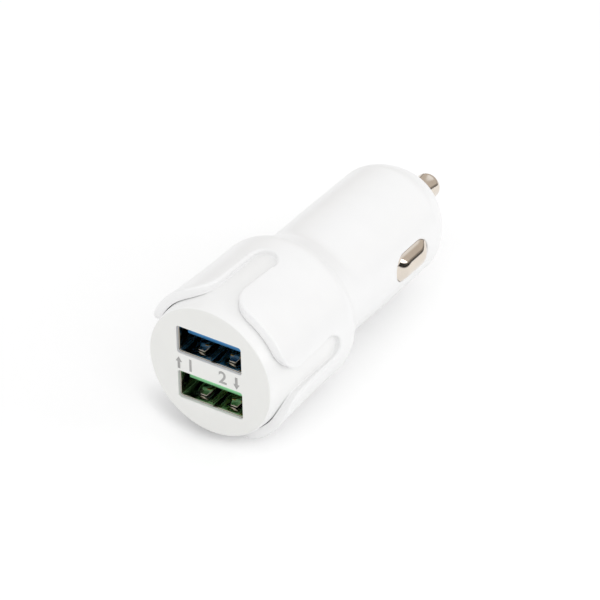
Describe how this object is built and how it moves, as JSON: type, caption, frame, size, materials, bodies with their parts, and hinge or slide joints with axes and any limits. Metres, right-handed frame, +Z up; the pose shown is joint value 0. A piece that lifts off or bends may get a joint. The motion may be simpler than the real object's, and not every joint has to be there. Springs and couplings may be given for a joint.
{
  "type": "car usb charger plug",
  "caption": "Barrel plug with petal-shaped head and stacked USB ports that draws power from a vehicle's 12 V socket through sprung side and centre contacts.",
  "frame": {"origin": "on the plug's axis where the straight barrel begins, behind the shoulder: the vehicle's socket holds the plug there", "axes": "+Y runs rearwards along the plug to the centre contact, +X is to the right of the port face, +Z is up (the port whose tongue is farther from the axis is the upper one)"},
  "size_m": [0.0272, 0.067, 0.0272],
  "materials": {
    "shell_plastic": "satin white",
    "insert_plastic": "satin white",
    "port_steel": "plain nickel plate",
    "blue_plastic": "matte",
    "green_plastic": "matte",
    "contact_gold": "bright",
    "board": "lacquered",
    "ferrite": "matte",
    "copper_wire": "enamelled",
    "capacitor_can": "sleeved",
    "chip_black": "matte",
    "ceramic": "matte",
    "nickel": "bright nickel plate",
    "spring_steel": "plain"
  },
  "bodies": {
    "housing": {"body_shell": "shell_plastic", "face_insert": "insert_plastic", "usb_shell_upper": "port_steel", "usb_shell_lower": "port_steel", "usb_tongue_upper": "blue_plastic", "usb_tongue_lower": "green_plastic", "usb_pins_upper": "contact_gold", "usb_pins_lower": "contact_gold", "socket_board": "board", "main_board": "board", "inductor_core": "ferrite", "inductor_winding": "copper_wire", "input_capacitor": "capacitor_can", "output_capacitor": "capacitor_can", "converter_chip": "chip_black", "port_chip": "chip_black", "diode": "chip_black", "chip_fuse": "ceramic", "chip_resistors": "chip_black", "chip_capacitors": "ceramic", "centre_spring": "spring_steel", "spring_terminal": "spring_steel", "side_leaf_left": "spring_steel", "side_leaf_right": "spring_steel"},
    "tip": {"centre_contact": "nickel"},
    "left_contact": {"side_contact_left": "nickel"},
    "right_contact": {"side_contact_right": "nickel"}
  },
  "joints": [
    {"name": "tip_press", "type": "slide", "parent": "housing", "child": "tip", "axis": [0, -1, 0], "range_m": [0, 0.002], "stiffness_N_per_m": 600, "springref_m": -0.004, "deforming": ["centre_spring"]},
    {"name": "left_press", "type": "slide", "parent": "housing", "child": "left_contact", "axis": [1, 0, 0], "range_m": [0, 0.0012], "stiffness_N_per_m": 1500, "springref_m": -0.0008, "deforming": ["side_leaf_left"]},
    {"name": "right_press", "type": "slide", "parent": "housing", "child": "right_contact", "axis": [-1, 0, 0], "range_m": [0, 0.0012], "stiffness_N_per_m": 1500, "springref_m": -0.0008, "deforming": ["side_leaf_right"]}
  ]
}
